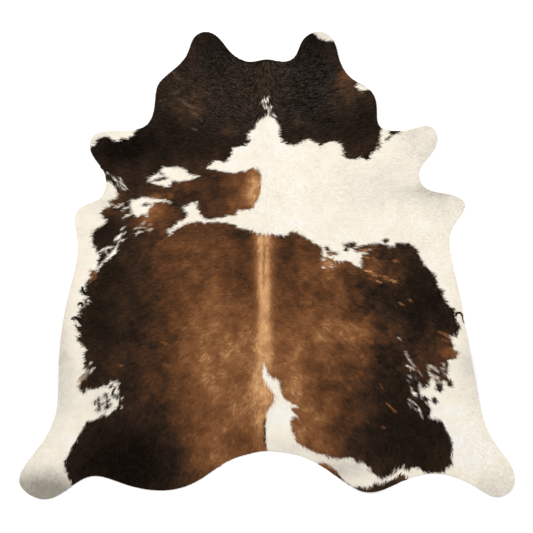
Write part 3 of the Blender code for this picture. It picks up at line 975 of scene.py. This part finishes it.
def undercoat_material():
    """Short fuzzy hair in the markings' colours, with painted shade: a little darker than the locks over
    it.
    """
    material, nodes, links, shader = new_material("undercoat_hair", UNDERCOAT_ROUGHNESS, UNDERCOAT_GLOSS)
    places = nodes.new("ShaderNodeTexCoord").outputs["Object"]
    fuzz = noise_value(nodes, links, places, FUZZ_SCALE, FUZZ_DETAIL)
    wander = math_node(nodes, links, "SUBTRACT", fuzz, 0.5)
    depth = math_node(nodes, links, "ADD", attribute_node(nodes, "depth"),
                      math_node(nodes, links, "MULTIPLY", wander, FUZZ_WANDER))
    dark = math_node(nodes, links, "DIVIDE", depth, UNDERCOAT_EDGE)
    dark = math_node(nodes, links, "ADD", dark, 0.5, clamp=True)
    tone = math_node(nodes, links, "ADD", attribute_node(nodes, "tone"),
                     math_node(nodes, links, "MULTIPLY", wander, FUZZ_TONE))
    # painted shade of the locks over it, on the brown and on the cream
    tone = math_node(nodes, links, "SUBTRACT", tone, UNDERCOAT_SHADE_DARKER)
    grey = math_node(nodes, links, "ADD", attribute_node(nodes, "grey"), UNDERCOAT_SHADE_GREYER)
    links.new(coat_colour(nodes, links, dark, tone, grey), shader.inputs["Base Color"])
    add_bump(nodes, links, shader, fuzz, FUZZ_DEPTH, FUZZ_STRENGTH)
    return material


def paint_markings(mesh):
    """Writes the markings on the points of the skin."""
    places = np.zeros(len(mesh.vertices) * 3)
    mesh.vertices.foreach_get("co", places)
    x, y = (places.reshape(-1, 3)[:, :2] / CM).T
    set_attribute(mesh, "depth", hair_depth(x, y))
    set_attribute(mesh, "tone", brown_tone(x, y))
    set_attribute(mesh, "grey", cream_grey_and_shade(x, y))


paint_markings(skin.data)
skin.data.materials.append(undercoat_material())
skin.data.materials.append(suede_material())
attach(skin, "root")
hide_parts("hide")

# ------------------------------------------------------------------------------------------------
# The coat. Glossy hair 2 to 3 cm long, combed flat by its growth: back along the spine, out over
# the ribs, and down the thighs. Each small blade is a lock of hairs that cling together, rooted in
# the skin and lying on the locks behind it. Five joined meshes, from the neck to the rump.

LOCK_STEP = 0.00425            # spacing of the roots
LOCK_LENGTH = 0.026
LOCK_WIDTH = 0.0036
LOCK_RISE = 0.0021             # how far a lock's tip stands above the skin
ROOT_JITTER = 0.45             # how far a root strays from its grid point, in grid steps
OVERHANG = 0.0015              # how far hair may reach past the solid's edge
FURTHEST = 2.0 * OVERHANG      # a lock that reaches further, once trimmed, is left out
SHORTEST = 0.35                # the least share of its length that a trimming leaves a lock
TRIM_PASSES = 3
RIM_FALL = 0.007               # the coat thins to the edge over this width
RIM_LEAST = 0.3                # and keeps this share of its rise there

# One blade, from its root to its tip: along its length, across its width, up its arch.
BLADE_POINTS = np.array(((0.00, 0.00, 0.0), (0.42, -0.50, 0.0), (0.42, 0.00, 1.0), (0.42, 0.50, 0.0),
                         (1.00, 0.00, 0.0)))
BLADE_FACES = np.array(((0, 3, 2), (0, 2, 1), (2, 3, 4), (1, 2, 4)))
BLADE_ARCH = 0.0007            # how high a blade's middle stands over its sides
ROOT_DEPTH = 0.0002            # how deep a root sits in the skin

# How the hair lies: degrees below straight outwards, by the distance towards the neck.
#    y      fall_deg
FLOW_FALL = (
    (-105.0,  72.0),
    (-80.0,   58.0),
    (-60.0,   48.0),
    (-40.0,   34.0),
    (-20.0,   20.0),
    (0.0,     12.0),
    (20.0,     8.0),
    (40.0,     4.0),
    (55.0,    -8.0),
    (70.0,   -14.0),
    (85.0,   -16.0),
    (105.0,  -35.0),
)

SPINE_AT = -1.2                # where the hair parts
SPINE_HALF = 7.0               # centimetres to each side over which the hair turns out from there
SPINE_POWER = 1.3

# Partings and whorls, where the hair turns by so many degrees further from the fall.
#    place               x      y    reach   turn_deg
WHORLS = (
    ("left neck",     -47.0,  74.0,   6.0,    30.0),
    ("left armpit",   -65.0,  36.0,   6.0,   -50.0),
    ("left elbow",    -66.0,  14.0,   7.0,    40.0),
    ("left flank",    -84.0, -26.0,   9.0,   -50.0),
    ("left groin",    -80.0, -50.0,   7.0,    30.0),
    ("right flank",    84.0, -24.0,   4.0,    70.0),
    ("right rump",     57.0, -90.0,   6.0,    60.0),
)


def flow_angle(x, y):
    """The way the hair lies at a place in centimetres, as an angle in plan."""
    rows = np.array(FLOW_FALL)
    fall = np.interp(y, rows[:, 0], rows[:, 1])
    for _, at_x, at_y, reach, turn in WHORLS:
        fall += turn * np.exp(-((x - at_x) ** 2 + (y - at_y) ** 2) / (2.0 * reach * reach))
    out = np.abs(x - SPINE_AT) / SPINE_HALF
    lean = np.clip(out, 0.0, 1.0) ** SPINE_POWER
    fall = 90.0 + (fall - 90.0) * lean
    side = np.where(x > SPINE_AT, 1.0, -1.0)
    fall = np.radians(fall)
    return np.arctan2(-np.sin(fall), side * np.cos(fall))


def along_flow(x, y, cell, seed, steps=2, stride=0.45):
    """Noise drawn out along the hair, as brindling is."""
    angle = flow_angle(x, y)
    total = np.zeros(x.shape)
    for k in range(-steps, steps + 1):
        total += ruffle(x + k * stride * np.cos(angle), y + k * stride * np.sin(angle), cell, seed)
    return total / math.sqrt(2 * steps + 1)


# Curls: long dark locks that turn over on the white, each an arc in centimetres and degrees. A curl
# is made of short blades, one behind the other, lying on top of the white hair.
#     x       y     radius  from_deg  to_deg  half_width
CURLS = (
    (84.45, -22.1,   1.45,   195.0,     0.0,   0.42),
    (93.0,  -22.1,   7.10,   180.0,   203.0,   0.12),
    (-77.0,  -9.2,   4.30,   178.0,   233.0,   0.45),
    (-82.0, -17.4,   0.95,   205.0,   -20.0,   0.50),
    (-84.0, -24.8,   1.85,   160.0,     0.0,   0.70),
)
CURL_LOCKS = 20                # blades for each centimetre along the arc
CURL_BLADE = 0.007             # how long each of them is
CURL_LIFT = 1.2                # how high a curl lies, in rises of a lock
CURL_TONE = 0.12

# How unevenly the coat is coloured, cloud by cloud of so many centimetres, in tone and in grey.
#   cell   tone   grey
MOTTLE = (
    (0.9, 0.055, 0.060),
    (1.8, 0.055, 0.060),
    (4.5, 0.095, 0.060),
    (11.0, 0.060, 0.040),
)
MOTTLE_SEED = 40

# Where the mottling is so much livelier than elsewhere. Where it is calmer, single locks differ less too.
#    place            x      y    half_x  half_y  more
LIVELIER = (
    ("neck",         0.0,  76.0,   45.0,   20.0,   0.4),
    ("right side",  50.0, -18.0,   28.0,   34.0,   0.5),
    ("stripe",      -1.4, -18.0,    4.2,   40.0,  -0.60),
)
BRINDLE_CELL = 0.7
BRINDLE_SWING = 0.025          # how strongly it is streaked along the hair
BRINDLE_SEED = 5
FLECK_SHARE = 0.04             # the share of locks that are fairer than the rest
FLECK_TONE = 0.09

# The neck is grizzled: many of its locks are fairer, with a few white hairs. These fairer locks are
# partly real grizzle and partly painted sheen of the dark neck hair.
GRIZZLE_AND_SHEEN_SHARE = 0.40
GRIZZLE_AND_SHEEN_WHITE = 0.025                # how much of such a lock is white
GRIZZLE_AND_SHEEN_TONE = 0.06            # and how much fairer the rest of it is
GRIZZLE_AND_SHEEN_NECK = (0.0, 78.0, 42.0, 20.0)          # the oval where it is so: middle and half sizes

# Dark hair is evener than brown: the mottling grows from a share of itself up to all of it.
CALM_TONE = 0.05
LIVELY_TONE = 0.35
CALM_SHARE = 0.3

# How much single locks differ.
SCATTER_DEG = 9.0              # in the way they lie
CLOUD_DEG = 14.0               # and cloud by cloud, of so many centimetres
CLOUD_CELL = 3.0
CLOUD_SEED = 21
BEND_DEG = 12.0                # in how they bend along their length
LENGTH_RANGE = (0.72, 1.22)    # in length, width and rise, as shares of the usual ones
WIDTH_RANGE = (0.7, 1.3)
RISE_RANGE = (0.45, 1.25)
MARK_AT = 0.45                 # how far along a lock its marking is read
STRAY = 0.35                   # centimetres that a lock's marking strays by, along the hair


def root_places(rng):
    """A jittered triangular grid of roots, over the whole skin."""
    row_gap = LOCK_STEP * math.sqrt(3.0) / 2.0
    xs = np.arange(hide_low.x, hide_high.x, LOCK_STEP)
    ys = np.arange(hide_low.y, hide_high.y, row_gap)
    x, y = np.meshgrid(xs, ys)
    x = x + (np.arange(len(ys)) % 2)[:, None] * LOCK_STEP / 2.0
    x = (x + rng.uniform(-ROOT_JITTER, ROOT_JITTER, x.shape) * LOCK_STEP).ravel()
    y = (y + rng.uniform(-ROOT_JITTER, ROOT_JITTER, y.shape) * LOCK_STEP).ravel()
    keep = edge_gap.at(x, y) > TRIM_INSIDE
    return x[keep], y[keep]


def lay_blades(x, y, angle, bend, length, width, rise, arch_height):
    """The points of many blades, rooted just in the skin and rising to their tips."""
    points = np.zeros((len(x), len(BLADE_POINTS), 3))
    for i, (along, across, arch) in enumerate(BLADE_POINTS):
        turn = angle + bend * along
        px = x + along * length * np.cos(turn) - across * width * np.sin(turn)
        py = y + along * length * np.sin(turn) + across * width * np.cos(turn)
        points[:, i, 0], points[:, i, 1] = px, py
        points[:, i, 2] = skin_top(px, py) + rise * along + arch_height * arch - ROOT_DEPTH * (1 - along)
    return points


def rim_share(x, y):
    """How much of its full rise the coat has, thinning to the hide's edge."""
    return np.clip(edge_gap.at(x, y) / RIM_FALL, RIM_LEAST, 1.0)


def turn_curls(rng):
    """The blades of the curls, one behind the other along each arc."""
    parts = []
    for at_x, at_y, radius, start, end, half_width in CURLS:
        way = math.copysign(1.0, end - start)
        count = int(CURL_LOCKS * radius * math.radians(abs(end - start)))
        turn = np.radians(np.linspace(start, end, count))
        off = radius + half_width * rng.uniform(-1.0, 1.0, count)
        x, y = (at_x + off * np.cos(turn)) * CM, (at_y + off * np.sin(turn)) * CM
        points = lay_blades(x, y, turn + way * math.pi / 2, way * CURL_BLADE / (radius * CM),
                            CURL_BLADE, LOCK_WIDTH, 0.0, BLADE_ARCH)
        points[:, :, 2] += CURL_LIFT * LOCK_RISE * rim_share(x, y)[:, None]
        parts.append(points)
    return np.concatenate(parts)


def trim_to_edge(x, y, way, length):
    """Shortens the locks whose tips would reach too far past the hide's edge."""
    room = edge_gap.at(x, y) + OVERHANG
    for _ in range(TRIM_PASSES):
        over = -edge_gap.at(x + length * np.cos(way), y + length * np.sin(way)) - OVERHANG
        length = np.where(over > 0.0, length * np.clip(room / (room + over), SHORTEST, 1.0), length)
    return length


def mark_locks(x, y, angle, rng):
    """How dark, how pale and how grey each lock is, and its random shade."""
    count = len(x)
    stray = rng.normal(0.0, STRAY, count)
    depth = hair_depth(x + stray * np.cos(angle), y + stray * np.sin(angle))
    dark = np.clip(depth / SOFT_EDGE + 0.5, 0.0, 1.0)
    tone = brown_tone(x, y)
    # the cream's grey holds painted shade at the hide's edge and in the folds
    grey = cream_grey_and_shade(x, y)
    liveliness = np.ones(count)
    for _, at_x, at_y, half_x, half_y, more in LIVELIER:
        liveliness *= 1.0 + more * flat_oval(x, y, at_x, at_y, half_x, half_y)
    swing = liveliness * np.clip((tone - CALM_TONE) / (LIVELY_TONE - CALM_TONE), CALM_SHARE, 1.0)
    for seed, (cell, brown_swing, grey_swing) in enumerate(MOTTLE, start=MOTTLE_SEED):
        cloud = ruffle(x, y, cell, seed)
        tone += swing * brown_swing * cloud
        grey += grey_swing * cloud
    tone += swing * BRINDLE_SWING * along_flow(x, y, BRINDLE_CELL, BRINDLE_SEED)
    tone += FLECK_TONE * (rng.random(count) < FLECK_SHARE)
    # the neck's fairer locks: partly real grizzle, partly painted sheen of its dark hair
    grizzled = (rng.random(count) < GRIZZLE_AND_SHEEN_SHARE) * flat_oval(x, y, *GRIZZLE_AND_SHEEN_NECK)
    tone += GRIZZLE_AND_SHEEN_TONE * grizzled
    dark *= 1.0 - GRIZZLE_AND_SHEEN_WHITE * grizzled - white_share(x, y)
    shade = 0.5 + np.minimum(liveliness, 1.0) * rng.uniform(-0.5, 0.5, count)
    return dark, tone, grey, shade


def comb_locks(x, y, rng):
    """Every lock's blade points and its markings."""
    count = len(x)
    angle = flow_angle(x / CM, y / CM) + rng.normal(0.0, math.radians(SCATTER_DEG), count)
    angle += math.radians(CLOUD_DEG) * ruffle(x / CM, y / CM, CLOUD_CELL, CLOUD_SEED)
    bend = rng.normal(0.0, math.radians(BEND_DEG), count)
    length = LOCK_LENGTH * rng.uniform(*LENGTH_RANGE, count)
    width = LOCK_WIDTH * rng.uniform(*WIDTH_RANGE, count)
    way = angle + bend
    length = trim_to_edge(x, y, way, length)
    keep = edge_gap.at(x + length * np.cos(way), y + length * np.sin(way)) > -FURTHEST
    x, y, angle, bend, length, width = (v[keep] for v in (x, y, angle, bend, length, width))
    rim = rim_share(x, y)
    rise = LOCK_RISE * rng.uniform(*RISE_RANGE, len(x)) * rim
    points = lay_blades(x, y, angle, bend, length, width, rise, BLADE_ARCH * rim)
    mark_x = (x + MARK_AT * length * np.cos(angle)) / CM
    mark_y = (y + MARK_AT * length * np.sin(angle)) / CM
    return points, *mark_locks(mark_x, mark_y, angle, rng)


HAIR_ROUGHNESS = 0.55
HAIR_GLOSS = 0.022
STRAND_STRETCH = (14.0, 1.5, 1.0)      # how fast the strands change across a lock and along it
STRAND_DETAIL = 3.0
STRAND_DEPTH = 0.0004
STRAND_STRENGTH = 0.5
STRAND_SHIFT = 90.0            # lock lengths that the strands move on from the darkest to the palest
SHADE_SWING = 0.15             # how much one lock differs from another in tone
STRAND_SWING = 0.10            # and one strand of it from another
CREAM_SWING = 0.9              # the share of that which cream hair shows


def coat_material():
    """Hair with a soft gloss: each lock a little lighter or darker, finely lined along itself."""
    material, nodes, links, shader = new_material("combed_hair", HAIR_ROUGHNESS, HAIR_GLOSS)
    run = nodes.new("ShaderNodeUVMap")
    run.uv_map = "lock_run"
    stretch = nodes.new("ShaderNodeMapping")
    stretch.inputs["Scale"].default_value = STRAND_STRETCH
    links.new(run.outputs["UV"], stretch.inputs["Vector"])
    strands = noise_value(nodes, links, stretch.outputs["Vector"], 1.0, STRAND_DETAIL)
    shade = math_node(nodes, links, "SUBTRACT", attribute_node(nodes, "shade"), 0.5)
    strand = math_node(nodes, links, "SUBTRACT", strands, 0.5)
    wander = math_node(nodes, links, "ADD", math_node(nodes, links, "MULTIPLY", shade, SHADE_SWING),
                       math_node(nodes, links, "MULTIPLY", strand, STRAND_SWING))
    tone = math_node(nodes, links, "ADD", attribute_node(nodes, "tone"), wander, clamp=True)
    grey = math_node(nodes, links, "ADD", attribute_node(nodes, "grey"),
                     math_node(nodes, links, "MULTIPLY", wander, CREAM_SWING), clamp=True)
    colour = coat_colour(nodes, links, attribute_node(nodes, "dark"), tone, grey)
    links.new(colour, shader.inputs["Base Color"])
    add_bump(nodes, links, shader, strands, STRAND_DEPTH, STRAND_STRENGTH)
    return material


def join_locks(name, points, dark, tone, grey, shade, material):
    """One joined mesh of many blades, with its markings on its points."""
    count, corners = points.shape[:2]
    mesh = bpy.data.meshes.new(name)
    faces = (BLADE_FACES[None] + (np.arange(count) * corners)[:, None, None]).reshape(-1, 3)
    mesh.vertices.add(count * corners)
    mesh.vertices.foreach_set("co", points.astype(np.float32).ravel())
    mesh.loops.add(len(faces) * 3)
    mesh.loops.foreach_set("vertex_index", faces.astype(np.int32).ravel())
    mesh.polygons.add(len(faces))
    mesh.polygons.foreach_set("loop_start", np.arange(0, len(faces) * 3, 3, dtype=np.int32))
    mesh.update(calc_edges=True)
    mesh.polygons.foreach_set("use_smooth", np.ones(len(faces), bool))
    for label, values in (("dark", dark), ("tone", tone), ("grey", grey), ("shade", shade)):
        set_attribute(mesh, label, np.repeat(values, corners))
    flat = points.reshape(-1, 3)
    low, high = flat[:, :2].min(axis=0), flat[:, :2].max(axis=0)
    plan = ((flat[:, :2] - low) / (high - low))[faces.ravel()]
    run = np.tile(BLADE_POINTS[:, :2], (count, 1))
    run[:, 0] += np.repeat(shade * STRAND_SHIFT, corners)
    run = run[:, ::-1][faces.ravel()]
    for label, values in (("OFBake", plan), ("lock_run", run)):
        mesh.uv_layers.new(name=label).data.foreach_set("uv", values.astype(np.float32).ravel())
    mesh.materials.append(material)
    return add_object(name, mesh)


# The coat's parts, each down to this place along the spine, in centimetres.
BEYOND = 200.0                 # further from the middle than any root
COAT_PARTS = (("coat_neck", 42.0), ("coat_shoulders", 5.0), ("coat_back", -28.0),
              ("coat_loin", -62.0), ("coat_rump", -BEYOND))
COMB_SEED = 27
CURL_MARKS = (1.0, CURL_TONE, 0.0, 0.5)         # a curl's blades: dark, tone, grey, shade


def grow_coat():
    """Combs the locks, turns the curls, and joins them into the coat's parts."""
    rng = np.random.default_rng(COMB_SEED)
    locks = comb_locks(*root_places(rng), rng)
    curls = turn_curls(rng)
    curled = (curls, *(np.full(len(curls), value) for value in CURL_MARKS))
    locks = [np.concatenate(pair) for pair in zip(locks, curled)]
    root_y = locks[0][:, 0, 1] / CM
    material = coat_material()
    coats = []
    upper = BEYOND
    for name, lower in COAT_PARTS:
        part = (root_y <= upper) & (root_y > lower)
        coats.append(join_locks(name, *(values[part] for values in locks), material))
        upper = lower
    return coats


coats = grow_coat()
for coat in coats:
    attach(coat, "root")

# ------------------------------------------------------------------------------------------------
# Where it is shown: on a plain pale floor, under broad soft light, from straight above.

FLOOR_HALF = 12.0
FLOOR_GAP = 0.0002             # keeps the floor just clear of the skin's underside
FLOOR_ROUGHNESS = 0.9
FLOOR_COLOUR = (0.97, 0.97, 0.97, 1.0)
ROOM_COLOUR = (1.0, 1.0, 1.0, 1.0)
ROOM_LIGHT = 0.72
#    name            place                size   power
LAMPS = (
    ("window_side", (-3.6, 2.6, 3.4),     3.0,   190.0),
    ("fill_side",   (3.8, 1.2, 3.6),      3.5,   110.0),
)
CAMERA_LENS = 85.0
CAMERA_SENSOR = 36.0
PICTURE_PIXELS = 533
PIXEL_SIZE = 0.0044            # how much of the rug one pixel shows
VIEW_WIDTH = PICTURE_PIXELS * PIXEL_SIZE
VIEW_CENTRE = (-0.002, -0.0044)


def lay_floor():
    """A wide pale floor, just under the skin."""
    bm = bmesh.new()
    bmesh.ops.create_grid(bm, x_segments=1, y_segments=1, size=FLOOR_HALF)
    bmesh.ops.translate(bm, verts=bm.verts, vec=(0.0, 0.0, -FLOOR_GAP))
    mesh = bpy.data.meshes.new("floor")
    bm.to_mesh(mesh)
    bm.free()
    material, _, _, shader = new_material("pale_floor", FLOOR_ROUGHNESS, 0.0)
    shader.inputs["Base Color"].default_value = FLOOR_COLOUR
    mesh.materials.append(material)
    floor = add_object("floor", mesh)


def hang_light(name, place, size, power):
    """A round soft lamp, turned to the middle of the rug."""
    light = bpy.data.lights.new(name, "AREA")
    light.shape = "DISK"
    light.size = size
    light.energy = power
    lamp = add_object(name, light)
    lamp.location = place
    lamp.rotation_euler = (-Vector(place)).to_track_quat("-Z", "Y").to_euler()


lay_floor()
for lamp in LAMPS:
    hang_light(*lamp)
world = bpy.data.worlds.new("studio")
world.use_nodes = True
room = world.node_tree.nodes["Background"]
room.inputs["Color"].default_value = ROOM_COLOUR
room.inputs["Strength"].default_value = ROOM_LIGHT
bpy.context.scene.world = world
bpy.context.scene.view_settings.view_transform = "Standard"

camera_data = bpy.data.cameras.new("camera")
camera_data.lens = CAMERA_LENS
camera_data.sensor_width = CAMERA_SENSOR
camera = add_object("camera", camera_data)
camera.location = (*VIEW_CENTRE, VIEW_WIDTH * CAMERA_LENS / CAMERA_SENSOR)
bpy.context.scene.camera = camera
